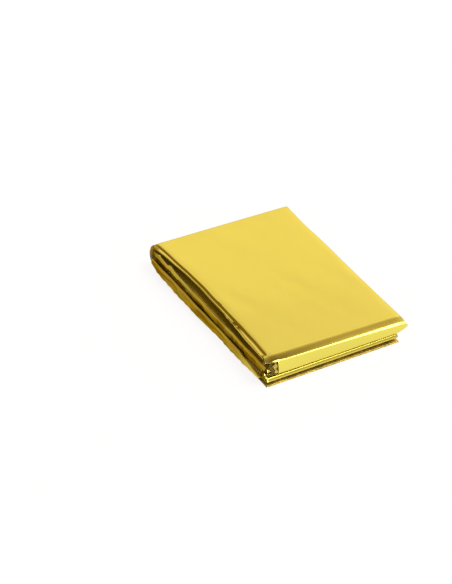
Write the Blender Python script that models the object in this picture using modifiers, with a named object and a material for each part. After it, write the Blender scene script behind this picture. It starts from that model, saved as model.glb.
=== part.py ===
"""A folded emergency foil blanket: a sheet of film, folded in half, pleated into a narrow strip of forty
plies, and the strip folded back and forth into a flat packet.

The solid is the strip as it lies in the packet: one continuous band of eight passes that run along Y,
joined by seven folds, one of which wraps the front of the packet. The pleated edges of the strip face -X
and +X. +Z is up, and the origin is the middle of the packet's footprint.
"""

from collections import namedtuple
import math

import bmesh
import bpy

MM = 0.001

# Driving dimensions, in millimetres.
STRIP_THICK = 1.0  # all the plies of one pass, pressed together
REAR = 65.2  # outer faces of the packet, behind and in front
FRONT = -64.4
MIDDLE = (1.05, 0.52)  # where the middle of the whole footprint falls, in the tables' x and y
HALF_THICK = STRIP_THICK / 2

# One row for each pass of the strip, from the bottom up: the height of its middle at the packet's thick
# left side and at its thin right side, its left and right edges, how far its left edge curls down, and how
# far that edge is drawn in halfway along.
Pass = namedtuple("Pass", "name z_left z_right x_left x_right curl bow")
PASSES = {
    row.name: row
    for row in (
        Pass("bottom", 0.50, 0.50, -41.8, 37.8, 0.0, 0.0),
        Pass("second", 2.20, 2.60, -41.3, 37.6, 0.0, 0.0),
        Pass("ledge", 3.90, 4.00, -41.9, 38.0, 0.0, 0.0),
        Pass("under_wrap", 5.40, 5.40, -40.4, 37.2, 0.0, 0.0),
        Pass("lower_core", 6.90, 6.80, -40.9, 38.2, 0.0, 0.0),
        Pass("upper_core", 8.40, 8.20, -40.2, 38.6, 0.0, 0.0),
        Pass("last_core", 9.90, 9.65, -40.6, 39.6, 0.0, 0.0),
        Pass("top", 14.20, 11.20, -40.3, 42.7, 0.7, 2.4),
    )
}

# One row for each fold, in the order in which the strip runs: the end of the packet that it lies at, the
# passes that it joins, how far inside the packet's outer face it stops, how deep its bend is, how square
# its bend is (2 is round), how many steps it takes, where the strip's edges lie at its middle, how far
# along the passes those edges can still be felt, and the share of the bend that the passes' own edges hold.
Fold = namedtuple("Fold", "end leaves joins inset depth square steps x_left x_right flare hold")
FOLDS = (
    Fold("rear", "bottom", "second", 2.6, 1.4, 2.0, 6, -36.8, 37.6, 16.0, 0.0),
    Fold("front", "second", "ledge", 0.7, 0.9, 2.0, 6, -41.2, 38.0, 3.0, 0.0),
    Fold("rear", "ledge", "top", 0.0, 2.8, 2.1, 16, -41.9, 44.2, 7.0, 0.0),
    Fold("front", "top", "under_wrap", 0.5, 2.6, 3.2, 16, -34.4, 44.6, 0.6, 0.5),
    Fold("rear", "under_wrap", "lower_core", 2.2, 1.0, 2.0, 6, -40.6, 38.2, 3.0, 0.0),
    Fold("front", "lower_core", "upper_core", 2.4, 1.0, 2.0, 6, -40.4, 38.0, 3.0, 0.0),
    Fold("rear", "upper_core", "last_core", 1.8, 1.0, 2.0, 6, -40.6, 38.2, 3.0, 0.0),
)
BOTTOM_END = FRONT  # free end of the strip, under the packet
CORE_END = FRONT + 3.0  # free end of the strip, inside the wrap

# Steps along each pass, and shares of the strip's width at which it is stepped across, close together
# near the pleated edges.
PASS_STEPS = 9
WIDTH_SHARES = (0.0, 0.012, 0.03, 0.08, 0.2, 0.36, 0.52, 0.68, 0.82, 0.93, 0.98, 1.0)
CURL_WIDTH = 1.6  # how far in from the left edge the curl reaches
MIDDLE_FROM = 0.8  # share of a bend's depth past which the strip has the fold's own edges
FOLD_PULL = 0.5  # share of the way to a fold's own edges that a pass has gone where the bend starts

# Unevenness: the pleated edges wander sideways, and the packet's height swells and sinks along Y.
EDGE_WANDER = 0.2
EDGE_WAVES = (47.0, 19.0)
SWELL_SHARE = 0.02
SWELL_WAVE = 105.0
REAR_SKEW = 0.9  # how much further back the packet's rear lies at its right side than on its middle line
FRONT_SKEW = 0.7  # how much further forward its front lies at its left side
HALF_WIDTH = 41.0

# A place along the strip: y, the height of the strip's middle at both edges, where the edges are, and
# the curl of the left one.
Place = namedtuple("Place", "y z_left z_right x_left x_right curl")


def blend(a, b, share):
    return a + (b - a) * share


def eased(share):
    return share * share * (3 - 2 * share)


def outward(end):
    return 1.0 if end == "rear" else -1.0


def fold_reach(fold):
    """Where the strip's middle is at the outermost point of a fold."""
    face = REAR if fold.end == "rear" else FRONT
    return face - outward(fold.end) * (fold.inset + HALF_THICK)


def bend_start(fold):
    return fold_reach(fold) - outward(fold.end) * fold.depth


def wandering(place, order):
    """The place with its edges moved sideways, by an amount that differs for each pass and along Y."""
    first, second = (
        math.sin(2 * math.pi * place.y / wave + 1.7 * order * (i + 1))
        for i, wave in enumerate(EDGE_WAVES)
    )
    shift = EDGE_WANDER * (0.65 * first + 0.35 * second)
    return place._replace(x_left=place.x_left + shift, x_right=place.x_right + 0.6 * shift)


def carried_into(fold):
    return 0.0 if fold.hold else FOLD_PULL


def pulled(edges, fold, carried):
    """The left and right edges, a share of the way from where they are to where the fold has them."""
    return blend(edges[0], fold.x_left, carried), blend(edges[1], fold.x_right, carried)


def along_pass(row, ends, order):
    """Places along a flat pass, its edges drawn towards those of the folds it meets. Each of its two ends
    is the y at which it lies and the fold there, or None at an end of the strip itself."""
    (y_from, _), (y_to, _) = ends
    for step in range(PASS_STEPS + 1):
        y = blend(y_from, y_to, eased(step / PASS_STEPS))
        edges = row.x_left + row.bow * math.sin(math.pi * (y - y_from) / (y_to - y_from)), row.x_right
        for y_fold, fold in ends:
            if fold:
                carried = carried_into(fold) * math.exp(-abs(y - y_fold) / fold.flare)
                edges = pulled(edges, fold, carried)
        yield wandering(Place(y, row.z_left, row.z_right, *edges, row.curl), order)


def around_fold(fold, order):
    """Places round a fold, between its ends, on a half superellipse from one pass to the next."""
    low, high = PASSES[fold.leaves], PASSES[fold.joins]
    start = bend_start(fold)
    power = 2 / fold.square
    low_edges = pulled((low.x_left, low.x_right), fold, carried_into(fold))
    high_edges = pulled((high.x_left, high.x_right), fold, carried_into(fold))
    for step in range(1, fold.steps):
        angle = math.pi * step / fold.steps
        rise = (1 - math.copysign(abs(math.cos(angle)) ** power, math.cos(angle))) / 2
        out = math.sin(angle) ** power
        middle = eased(min(1.0, max(0.0, (math.sin(angle) - fold.hold) / (MIDDLE_FROM - fold.hold))))
        plain = Place(
            start + outward(fold.end) * fold.depth * out,
            blend(low.z_left, high.z_left, rise),
            blend(low.z_right, high.z_right, rise),
            blend(blend(low_edges[0], high_edges[0], rise), fold.x_left, middle),
            blend(blend(low_edges[1], high_edges[1], rise), fold.x_right, middle * (1 - rise)),
            blend(low.curl, high.curl, rise) * (1 - middle),
        )
        yield wandering(plain, blend(order, order + 1, step / fold.steps))


def strip_places():
    """Every place along the strip, from its free end under the packet to the one inside the wrap."""
    places = []
    end = (BOTTOM_END, None)
    for order, fold in enumerate(FOLDS):
        bend = (bend_start(fold), fold)
        places.extend(along_pass(PASSES[fold.leaves], (end, bend), order))
        places.extend(around_fold(fold, order))
        end = bend
    last = PASSES[FOLDS[-1].joins]
    places.extend(along_pass(last, (end, (CORE_END, None)), len(FOLDS)))
    return places


def strip_point(place, share):
    """The point at a share of the strip's width, from its left edge to its right one."""
    x = blend(place.x_left, place.x_right, share)
    z = blend(place.z_left, place.z_right, share)
    z -= place.curl * max(0.0, 1 - (x - place.x_left) / CURL_WIDTH) ** 2
    floor = PASSES["bottom"].z_left
    swell = 1 + SWELL_SHARE * math.sin(2 * math.pi * place.y / SWELL_WAVE)
    skew = REAR_SKEW * eased(max(0.0, place.y / REAR)) + FRONT_SKEW * eased(max(0.0, place.y / FRONT))
    y = place.y + skew * x / HALF_WIDTH
    return (x - MIDDLE[0]) * MM, (y - MIDDLE[1]) * MM, (floor + (z - floor) * swell) * MM


def folded_strip(name, collection):
    """A flat grid, each of its points moved to its place in the folded strip."""
    places = strip_places()
    mesh = bpy.data.meshes.new(name)
    grid = bmesh.new()
    across, along = len(WIDTH_SHARES) - 1, len(places) - 1
    bmesh.ops.create_grid(grid, x_segments=across, y_segments=along, size=0.5)
    for vert in grid.verts:
        column = round((vert.co.x + 0.5) * across)
        row = round((vert.co.y + 0.5) * along)
        vert.co = strip_point(places[row], WIDTH_SHARES[column])
    for face in grid.faces:
        face.smooth = True
    grid.to_mesh(mesh)
    grid.free()
    strip = bpy.data.objects.new(name, mesh)
    collection.objects.link(strip)
    plies = strip.modifiers.new("plies", "SOLIDIFY")
    plies.thickness = STRIP_THICK * MM
    plies.offset = 0.0
    plies.use_even_offset = True
    return strip


def gold_foil():
    material = bpy.data.materials.new("gold_foil")
    material.use_nodes = True
    shader = material.node_tree.nodes["Principled BSDF"]
    shader.inputs["Base Color"].default_value = (0.82, 0.62, 0.11, 1.0)
    shader.inputs["Metallic"].default_value = 1.0
    shader.inputs["Roughness"].default_value = 0.22
    return material


def clear_scene():
    for thing in list(bpy.data.objects):
        bpy.data.objects.remove(thing, do_unlink=True)


def main():
    clear_scene()
    collection = bpy.data.collections.new("foil_blanket")
    bpy.context.scene.collection.children.link(collection)
    blanket = folded_strip("blanket", collection)
    blanket.data.materials.append(gold_foil())


main()
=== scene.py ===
"""Looks of a folded emergency foil blanket.

The blanket is one sheet of metallised film, built as it is folded: in half, then pleated from side to side
into a narrow strip of forty plies, and the strip folded back and forth into a packet. It is one grid of
faces, each point of which is worked out from its place on the flat sheet.
"""

from collections import namedtuple
import math

import bpy
import numpy as np
from mathutils import Matrix, Vector


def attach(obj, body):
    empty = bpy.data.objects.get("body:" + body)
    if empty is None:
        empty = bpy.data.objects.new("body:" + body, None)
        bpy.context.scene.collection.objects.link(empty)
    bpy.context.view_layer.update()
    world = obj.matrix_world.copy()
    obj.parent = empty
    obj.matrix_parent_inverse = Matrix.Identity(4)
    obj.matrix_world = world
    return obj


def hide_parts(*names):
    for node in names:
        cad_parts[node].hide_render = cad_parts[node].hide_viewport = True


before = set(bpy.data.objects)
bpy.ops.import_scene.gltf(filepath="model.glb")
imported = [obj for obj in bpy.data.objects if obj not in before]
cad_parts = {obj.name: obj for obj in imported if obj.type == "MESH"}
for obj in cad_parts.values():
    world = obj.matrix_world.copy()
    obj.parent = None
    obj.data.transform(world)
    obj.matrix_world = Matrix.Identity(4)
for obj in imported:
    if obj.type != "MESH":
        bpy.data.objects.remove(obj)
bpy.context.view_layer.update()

bl_info = {
    "name": "Foil blanket",
    "version": (1, 0, 0),
    "blender": (4, 5, 0),
    "location": "View3D > Sidebar > Foil blanket",
    "description": "Folds a sheet of gold film into a pocket packet and lights it",
    "category": "Object",
}

MM = 0.001
NODE = "blanket"
PIECE = "folded_film"

# The packet, in millimetres: its outer faces behind and in front, the middle of its footprint, and how
# thick one pass of the strip is.
REAR = 65.2
FRONT = -64.4
MIDDLE = (1.05, 0.52)
STRIP_THICK = 0.96
FLOOR_HEIGHT = 0.5  # the height from which the packet swells, which is that of the lowest pass

# One row for each pass of the strip, from the bottom up: the height of its middle at the left and right
# sides of the packet, its left and right edges, how far the left one is drawn in halfway along, and how
# many rows of faces each half of the doubled sheet has along it.
Pass = namedtuple("Pass", "name z_left z_right x_left x_right bow rows_outer rows_inner")
PASSES = {
    row.name: row
    for row in (
        Pass("bottom", 0.50, 0.50, -41.8, 38.4, 0.0, 12, 10),
        Pass("second", 2.20, 2.60, -41.3, 37.6, 0.0, 10, 8),
        Pass("ledge", 3.90, 4.00, -41.9, 38.0, 0.0, 50, 20),
        Pass("under_wrap", 5.40, 5.40, -40.4, 37.2, 0.0, 18, 12),
        Pass("lower_core", 6.90, 6.80, -40.9, 38.2, 0.0, 20, 12),
        Pass("upper_core", 8.40, 8.20, -40.2, 38.6, 0.0, 26, 14),
        Pass("last_core", 9.90, 9.65, -40.6, 39.6, 0.0, 56, 16),
        Pass("top", 14.20, 11.20, -40.3, 42.7, 2.4, 56, 24),
    )
}

# One row for each fold, as the strip runs: its end of the packet, the passes that it joins, how far inside
# the outer face it stops, how deep its bend is and how square (2 is round), where the strip's edges lie at
# its middle, how far along the passes those edges are felt, the share of the bend that the passes' own edges
# hold, how far its plies spread, and its rows of faces. The bend marked None is shaped by WRAP_TURNS.
Fold = namedtuple("Fold", "end leaves joins inset depth square x_left x_right flare hold spread rows")
FOLDS = (
    Fold("rear", "bottom", "second", 2.6, 1.4, 2.0, -36.8, 37.6, 16.0, 0.0, 1.3, 6),
    Fold("front", "second", "ledge", 0.7, 0.9, 2.0, -41.2, 38.4, 3.0, 0.0, 1.2, 16),
    Fold("rear", "ledge", "top", 0.0, 2.8, 2.1, -41.9, 44.2, 7.0, 0.0, 1.7, 22),
    Fold("front", "top", "under_wrap", 0.5, None, None, -34.4, 44.1, 0.6, 0.5, 1.0, 40),
    Fold("rear", "under_wrap", "lower_core", 2.2, 1.0, 2.0, -40.6, 38.2, 3.0, 0.0, 1.2, 6),
    Fold("front", "lower_core", "upper_core", 2.4, 1.0, 2.0, -40.4, 38.0, 3.0, 0.0, 1.2, 6),
    Fold("rear", "upper_core", "last_core", 1.8, 1.0, 2.0, -40.6, 38.2, 3.0, 0.0, 1.2, 6),
)
LOW_FRONT, BIG_REAR, WRAP = 1, 2, 3  # the folds of the table above that show most
PARTS = tuple(fold.leaves for fold in FOLDS) + (FOLDS[-1].joins,)  # the passes as the strip runs
CORE = ("under_wrap", "lower_core", "upper_core", "last_core")  # the passes inside the wrap
BOTTOM_END = FRONT  # free end of the strip, under the packet
CORE_END = FRONT + 3.0  # free end of the strip, inside the wrap
FREE_END_ROW = 0.2  # length of the first row of faces at the strip's free end
MIDDLE_FROM = 0.8  # share of a bend's depth past which the strip has the fold's own edges
FOLD_PULL = 0.5  # share of the way to a fold's own edges that a pass has gone where the bend starts

# Unevenness of the packet: the strip's edges wander sideways, and its height swells and sinks along Y.
EDGE_WANDER, RIGHT_SHARE = 0.2, 0.6  # how far the left edge wanders, and the right edge's share of that
EDGE_WAVES = ((47.0, 0.65), (19.0, 0.35))  # length and share of each wave
EDGE_TURN = 1.7  # how far the first wave turns from pass to pass, in radians. The second turns twice that.
SWELL_SHARE = 0.02
SWELL_WAVE = 105.0
REAR_SKEW = 0.9  # how much further back the packet's rear lies at its right side than on its middle line
FRONT_SKEW = 0.7  # how much further forward its front lies at its left side
HALF_WIDTH = 41.0
LOWEST = 0.02  # least height of the film above the surface

# Unevenness of the plies: how wide the closed and the open gaps between layers are beside each other, how
# much of the opening goes by bunches, and how far that turns from gap to gap, in radians.
CLOSED_GAP, OPEN_GAP = 0.16, 2.4
BUNCH_GAP, BUNCH_GAP_TURN = 0.25, 2.4
GAP_SHIFT = 40.0  # how far those waves are shifted along the strip from one pass to the next
# How far the pleats' folds stand back from the strip's edge: in bunches, and slowly and quickly along it.
BUNCH_BACK, SLOW_BACK, QUICK_BACK = 0.45, 0.5, 0.06
BUNCH_BACK_TURN = 1.9  # how far the bunches turn from pleat to pleat, in radians
BUNCH_SEED_TURN = 2.1  # how far the seed turns them
OUTERMOST_BACK = 0.15  # share of all this that the outermost fold has
BACK_SHIFT = 61.0  # how far those waves are shifted along the strip from one pass to the next

# Waves of each unevenness: what it adds to the seed, what each numbered gap, pleat or ply adds to that, and
# the lengths of its waves.
Waves = namedtuple("Waves", "seed each lengths")
GAP_WAVES = Waves(0.0, 0.37, (31.0, 73.0))
SLOW_WAVES = Waves(0.0, 0.71, (58.0, 33.0, 21.0))
QUICK_WAVES = Waves(0.0, 1.3, (5.1, 3.3))
HEM_WAVES = Waves(7.7, 0.0, (6.3, 3.9, 2.7))
CRUMPLE_WAVES = Waves(3.1, 0.0, (2.9, 1.9))
CRUMPLE_PATCHES = Waves(5.3, 0.0, (4.7, 2.3))
STREAK_WAVES = Waves(2.3, 0.0, (31.0, 17.0, 11.0))
STREAK_PATCHES = Waves(4.9, 0.0, (74.0, 37.0))
NOTCH_EDGE_WAVES = Waves(0.0, 0.3, (4.3, 2.3))
NOTCH_BACK_WAVES = Waves(0.0, 0.9, (3.1, 1.7))
LEFT_FOLDS_SEED, RIGHT_FOLDS_SEED = 0.5, 4.5  # what the folds at the left and at the right add to the seed
SEED_TURN, WAVE_TURN = 12.9898, 4.1  # how far the seed and the waves' numbers turn them, in radians

# Hems: how the film's free edges hang over the left side of a pass. `at` is the distance in front of the
# packet's rear face, `rise` how far the film stands up there before it turns down, `reach` and `tilt` the
# length of film that leaves the pass and its angle below the level, `drop` and `fall` the length and angle
# of what hangs from there, and `brown` how much painted brown shade, standing for dark reflection, it has.
Hem = namedtuple("Hem", "at rise reach tilt drop fall brown")
HEMS = {
    "ledge": (
        Hem(0.0, 0.0, 1.2, -84.0, 1.0, 88.0, 1.0),
        Hem(2.5, 0.0, 2.2, -84.0, 2.2, 88.0, 1.0),
        Hem(5.0, 0.0, 2.9, -82.0, 3.6, 88.0, 1.0),
        Hem(9.0, 0.0, 2.9, -82.0, 4.4, 86.0, 1.0),
        Hem(14.0, 0.0, 2.6, -80.0, 4.9, 84.0, 1.0),
        Hem(24.0, 0.0, 2.2, -79.0, 5.1, 84.0, 0.95),
        Hem(38.0, 0.0, 1.85, -78.0, 5.6, 84.0, 0.9),
        Hem(66.0, 0.0, 1.4, -76.0, 5.3, 87.0, 1.0),
        Hem(90.0, 0.0, 1.3, -74.0, 5.2, 88.0, 0.9),
        Hem(100.0, 0.0, 1.1, -66.0, 4.9, 86.0, 0.8),
        Hem(111.0, 0.0, 0.8, 40.0, 3.3, 86.0, 0.5),
        Hem(118.0, 0.0, 2.4, 74.0, 1.2, 84.0, 0.3),
        Hem(123.4, 0.0, 3.1, 76.0, 0.4, 80.0, 0.2),
        Hem(124.4, 0.0, 4.4, -90.0, 0.4, -80.0, 0.1),
        Hem(125.8, 0.0, 4.4, -90.0, 0.4, -80.0, 0.1),
        Hem(127.3, 0.0, 1.0, -60.0, 0.4, -60.0, 0.1),
    ),
    "last_core": (
        Hem(0.0, 0.0, 0.3, 10.0, 3.0, 88.0, 1.0),
        Hem(5.5, 0.2, 0.3, 10.0, 3.4, 88.0, 0.9),
        Hem(8.0, 1.0, 0.3, 10.0, 4.0, 88.0, 0.7),
        Hem(9.4, 2.4, 0.3, 10.0, 5.2, 88.0, 0.6),
        Hem(11.5, 0.9, 0.3, 10.0, 4.1, 84.0, 0.9),
        Hem(15.0, 0.1, 0.3, 10.0, 3.5, 82.0, 1.0),
        Hem(19.8, 0.4, 0.3, 10.0, 3.6, 86.0, 0.9),
        Hem(21.8, 2.5, 0.3, 10.0, 5.4, 90.0, 0.75),
        Hem(26.0, 1.2, 0.3, 10.0, 4.6, 90.0, 0.7),
        Hem(33.0, 0.4, 0.3, 10.0, 4.0, 90.0, 0.7),
        Hem(41.0, 0.1, 0.3, 10.0, 3.8, 88.0, 0.8),
        Hem(46.0, 0.0, 0.3, 10.0, 3.7, 82.0, 1.0),
        Hem(60.0, 0.0, 0.3, 10.0, 3.8, 86.0, 0.95),
        Hem(79.0, 0.3, 0.3, 10.0, 4.3, 82.0, 1.0),
        Hem(90.0, 0.5, 0.3, 10.0, 4.6, 84.0, 0.9),
        Hem(100.0, 0.5, 0.3, 10.0, 4.8, 86.0, 1.0),
        Hem(111.0, 0.1, 0.3, 10.0, 4.6, 83.0, 1.0),
        Hem(128.0, 0.0, 0.3, 10.0, 4.7, 86.0, 0.9),
    ),
    "top": (
        Hem(0.0, 0.0, 0.0, 4.0, 0.1, 20.0, 0.0),
        Hem(45.0, 0.0, 0.0, 0.0, 0.1, 20.0, 0.1),
        Hem(50.0, 0.0, 0.0, 10.0, 0.1, 20.0, 0.3),
        Hem(54.0, 0.0, 0.1, 0.0, 0.1, 20.0, 0.0),
        Hem(72.0, 0.0, 0.1, 2.0, 0.1, 20.0, 0.1),
        Hem(78.0, 0.0, 0.0, 10.0, 0.1, 20.0, 0.8),
        Hem(82.0, 0.0, 0.5, -14.0, 0.1, 20.0, 0.0),
        Hem(84.0, 0.0, 0.1, 20.0, 0.1, 20.0, 0.6),
        Hem(86.0, 0.0, 0.6, -16.0, 0.1, 20.0, 0.0),
        Hem(88.5, 0.0, 0.2, 24.0, 0.1, 20.0, 0.7),
        Hem(91.0, 0.0, 0.7, -12.0, 0.1, 20.0, 0.0),
        Hem(94.0, 0.0, 0.4, 20.0, 0.1, 20.0, 0.5),
        Hem(98.0, 0.0, 0.7, 2.0, 0.1, 20.0, 0.2),
        Hem(106.0, 0.0, 0.75, 4.0, 0.1, 20.0, 0.2),
        Hem(122.0, 0.0, 0.2, 4.0, 0.1, 20.0, 0.2),
        Hem(128.0, 0.0, 0.0, 4.0, 0.1, 20.0, 0.2),
    ),
}
TUCKED = Hem(0.0, 0.0, 0.12, 0.0, 0.06, 0.0, 0.0)  # a hem that does not show, wherever it is
FREE_EDGE_BACK = 0.25  # how far in from the strip's left edge the hems start
RISE_WIDTH = 1.3  # how far in from the edge a rise fades
INNER_REACH, INNER_DROP = 0.9, 0.85  # shares of a hem's reach and drop that the inner half's has
CRINKLED_FROM = 1.0  # drop from which a hem is crinkled
HEM_SET_BACK = {"ledge": 1.0, "last_core": 0.4}  # how much further in the hem starts on these passes
LIP = {"ledge": 0.75, "last_core": 0.3, "top": 0.42}  # width of the level lip where a hem turns down
LIP_TILT = 8.0  # angle of that lip below the level
# Each step of a hem, from its start: the shares of its reach, its lip and its drop that lie behind it, how
# far its tilt has changed to the lip's and then to the fall's, how much painted brown shade it has on the
# ledge and the top, how much on the last pass inside the wrap, and how much painted shade darkens it there.
HemStep = namedtuple("HemStep", "reach lip drop to_lip to_fall ledge_brown core_brown dark")
HEM_STEPS = (
    HemStep(1.0, 0.0, 0.0, 0.2, 0.0, 0.2, 0.8, 0.0),
    HemStep(1.0, 0.3, 0.0, 1.0, 0.0, 0.0, 0.7, 0.0),
    HemStep(1.0, 0.85, 0.0, 1.0, 0.0, 0.0, 0.9, 0.0),
    HemStep(1.0, 1.0, 0.1, 1.0, 0.85, 0.9, 1.0, 0.0),
    HemStep(1.0, 1.0, 0.25, 1.0, 1.0, 1.0, 1.0, 0.0),
    HemStep(1.0, 1.0, 0.4, 1.0, 1.0, 1.0, 1.0, 0.0),
    HemStep(1.0, 1.0, 0.55, 1.0, 1.0, 1.0, 1.0, 0.2),
    HemStep(1.0, 1.0, 0.7, 1.0, 1.0, 1.0, 1.0, 0.4),
    HemStep(1.0, 1.0, 0.85, 1.0, 1.0, 1.0, 1.0, 0.55),
    HemStep(1.0, 1.0, 1.0, 1.0, 1.0, 0.75, 1.0, 0.6),
)

# Lens-shaped painted highlights where facets of the film that hangs above the ledge catch the light: where
# each begins and ends, in front of the packet's rear face, how far down the hanging film its middle is at
# both, half its width, as shares of the film's drop, and how much of the painted brown shade it loses.
Facet = namedtuple("Facet", "at to share_at share_to half_width light")
FACETS = (
    Facet(8.6, 36.0, 0.08, 0.66, 0.15, 0.45),
    Facet(20.6, 70.0, 0.04, 0.36, 0.13, 0.55),
    Facet(40.0, 88.0, 0.55, 0.62, 0.07, 0.3),
    Facet(60.0, 106.0, 0.10, 0.42, 0.09, 0.4),
    Facet(84.0, 127.0, 0.12, 0.55, 0.09, 0.3),
)
FACET_SKEW, FACET_BLUNT = 0.7, 0.6  # how early it is widest, and how blunt its ends are
FACET_EDGE = 1.4  # how many times half its width it has faded at
FACET_PLEAT = 0.8  # how much of the pleats' painted shade colour it has instead, as a painted reflection

# How the strip turns over the front of the packet and back under itself: the tilt below the level that it
# has reached, and the length of strip over which it turns that far from the row above, at the packet's left
# and right sides. The length marked None is what the packet's height leaves.
Turn = namedtuple("Turn", "tilt left right")
WRAP_TURNS = (
    Turn(0.0, 0.0, 0.0),
    Turn(6.0, 1.4, 1.2),
    Turn(14.0, 2.2, 1.6),
    Turn(29.0, 1.7, 2.3),
    Turn(46.0, 0.45, 1.5),
    Turn(78.0, 0.4, 0.6),
    Turn(93.0, None, None),
    Turn(180.0, 2.0, 1.6),
)
TURN_STEPS = 40  # steps in which each of those turns is worked out
BY_LENGTH, BY_TILT = 0.4, 0.6  # how far the strip's rows there go by its length and by its tilt
BULGE_SKEW = 0.85  # where between its ends the wrap's right edge stands out furthest

# The film's free edge on the top stops short of the pleats under it, which are pressed down along it. At
# distances in front of the packet's rear face, how far in from the left edge the free edge lies, and how
# far out from it the pleats go on sinking.
Trim = namedtuple("Trim", "at back sinking")
TRIMS = (
    Trim(0.0, 2.7, 0.5),
    Trim(6.0, 2.6, 0.6),
    Trim(20.0, 2.2, 0.9),
    Trim(37.0, 1.9, 1.3),
    Trim(66.0, 2.0, 1.35),
    Trim(90.0, 2.4, 1.35),
    Trim(107.0, 3.0, 1.3),
    Trim(128.0, 3.2, 1.3),
)
USUAL_TRIM = 2.0  # how far in the free edge lies where the columns near it are not stretched or squeezed
PRESSED_SHARE = 0.8  # how much of their thickness the pleats lose at the strip's edge
SLOPE_MARGIN, SLOPE_FADE = 0.1, 0.2  # how far past their slope its painted shade reaches, and the width of its fade

# The pleat that lies beyond the free edge is crumpled over part of its length: from where to where, in front
# of the packet's rear face, over what length that begins and ends, how far in from the left edge, and how
# deep.
CRUMPLE_FROM, CRUMPLE_TO, CRUMPLE_FADE = 82.0, 98.0, 4.0
CRUMPLE_WIDTH, CRUMPLE_DEPTH = 1.6, 0.45
PATCH_LEVEL, PATCH_SHARPNESS = 0.5, 1.6  # how much of it has patches of painted brown shade, and how sharp they are

# The notch at the wrap's left edge, one row for each pair of plies under the outermost ply, the last one for
# all the others: how far out from the wrap they reach, how rough their edge is, how far back they stand, and
# how much painted shade darkens them.
NotchPair = namedtuple("NotchPair", "reach rough back dark")
NOTCH = (
    NotchPair(0.7, 0.15, 0.25, 0.9),
    NotchPair(2.6, 0.9, 0.8, 0.0),
    NotchPair(4.6, 0.9, 1.5, 0.75),
)
NOTCH_EDGE_POWER, NOTCH_BACK_POWER = 0.5, 0.6  # the smaller, the sooner it is full from the wrap's ends
NOTCH_EDGE_LENGTH, NOTCH_BACK_LENGTH = 10.0, 9.0  # how long the wrap is taken to be for its waves
NOTCH_BACK_SHIFT = 3.0  # how far those waves shift with each millimetre from a pleat's fold
NOTCH_BACK_ROUGH = 0.35  # how rough its plies are to and fro

LOFT = 0.14  # how far the outermost ply stands off the others where it shows
LOFT_FROM, LOFT_FADE = 2.0, 3.0  # how far in from the left edge it starts to, and over what width
CREASE_AT, CREASE_WIDTH, CREASE_DEPTH = 0.617, 0.09, 0.4  # the long crease in the low front fold

# How much painted olive shade, the shade of the hollow, is in the film's colour deep in the top pass, what
# share of that is in it inside the wrap, and how much is in the pressed pleats beside the film's free edge.
HOLLOW_DARK, CORE_HOLLOW, PRESSED_HOLLOW = 0.8, 0.85, 0.85
UNSHADED_SHARE = 0.7  # how much of the pleats' painted shade the pleats that show on the top lose, towards the film's own gold
LOW_DARK = 0.15  # how much painted shade the low front fold has, and the strip's free end under it
LOW_DARK_WITHIN, LOW_DARK_FADE = 1.2, 0.6  # how far from that free end the painted shade reaches, and how much of that fades
CREASE_DARK = 0.5  # how much painted shade the crease in the low front fold has besides

# Painted shade on the outermost ply. The top is painted darker in front, less so to the right, and has
# slanting streaks of painted shade. The wrap has a painted dark band where it turns down, up to halfway
# across, a painted reflection of the dim studio, and its face is painted a little dark.
FRONT_DARK, FRONT_DARK_FROM, FRONT_DARK_OVER, FRONT_DARK_LOSS = 0.11, 55.0, 55.0, 0.4
STREAK_DARK = 0.06
STREAK_ALONG_X, STREAK_ALONG_Y = 0.95, 0.32
BAND_DARK, BAND_LOSS = 0.65, 1.3
BAND_FULL_TILT, BAND_END_TILT, BAND_FADE_TILT = 24.0, 34.0, 8.0
FACE_DARK, FACE_MIDDLE_DARK = 0.02, 0.05
FACE_FROM_TILT, FACE_FADE_TILT = 30.0, 20.0


def blend(a, b, share):
    return a + (b - a) * share


def eased(share):
    share = np.clip(share, 0.0, 1.0)
    return share * share * (3 - 2 * share)


def outward(end):
    return 1.0 if end == "rear" else -1.0


def fold_face(fold, depth=0.0):
    """Where the strip's middle is at a fold's outermost point, or at a depth inside that."""
    face = REAR if fold.end == "rear" else FRONT
    return face - outward(fold.end) * (fold.inset + STRIP_THICK / 2 + depth)


def ripple(place, seed, waves, number=0):
    """A smooth unevenness between about -1 and 1: a sum of waves along a place."""
    seed = seed + waves.seed + waves.each * number
    total = sum(
        np.sin(2 * math.pi * place / wave + SEED_TURN * seed * (i + 1) + WAVE_TURN * i * i)
        for i, wave in enumerate(waves.lengths)
    )
    return total / len(waves.lengths)


def along_table(table, from_rear):
    """A table's row at each distance from the packet's rear face, blended between the rows next to it."""
    places = [row.at for row in table]
    return table[0]._make(np.interp(from_rear, places, values) for values in zip(*table))


class Stations:
    """Rows across the strip, in order along it. Each field has one value for each row: where the strip's
    middle is at its left and right sides, where its edges are, how far its plies spread, the number of its
    pass, which goes over smoothly in folds, the number of its pass, or that and a half in the fold after it,
    and how far along that part it is."""

    FIELDS = "y_left y_right z_left z_right x_left x_right spread order part along".split()

    def __init__(self):
        for name in self.FIELDS:
            setattr(self, name, [])

    def add(self, *values):
        for name, value in zip(self.FIELDS, values, strict=True):
            getattr(self, name).append(value)

    def close(self):
        """Turns the lists into arrays, moves the edges sideways by their wander and adds the normals."""
        for name in self.FIELDS:
            setattr(self, name, np.array(getattr(self, name)))
        self.y = (self.y_left + self.y_right) / 2
        shift = EDGE_WANDER * sum(
            share * np.sin(2 * math.pi * self.y / wave + EDGE_TURN * self.order * (i + 1))
            for i, (wave, share) in enumerate(EDGE_WAVES)
        )
        self.x_left = self.x_left + shift
        self.x_right = self.x_right + RIGHT_SHARE * shift
        self.normal_left = path_normals(self.y_left, self.z_left)
        self.normal_right = path_normals(self.y_right, self.z_right)
        return self

    def on(self, *passes):
        """1 for the rows of these passes, and 0 for the others."""
        return np.isin(self.part, [PARTS.index(name) for name in passes]).astype(float)

    def within(self, fold):
        """1 for the rows of the fold of this number, and 0 for the others."""
        return (self.part == fold + 0.5).astype(float)


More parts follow.
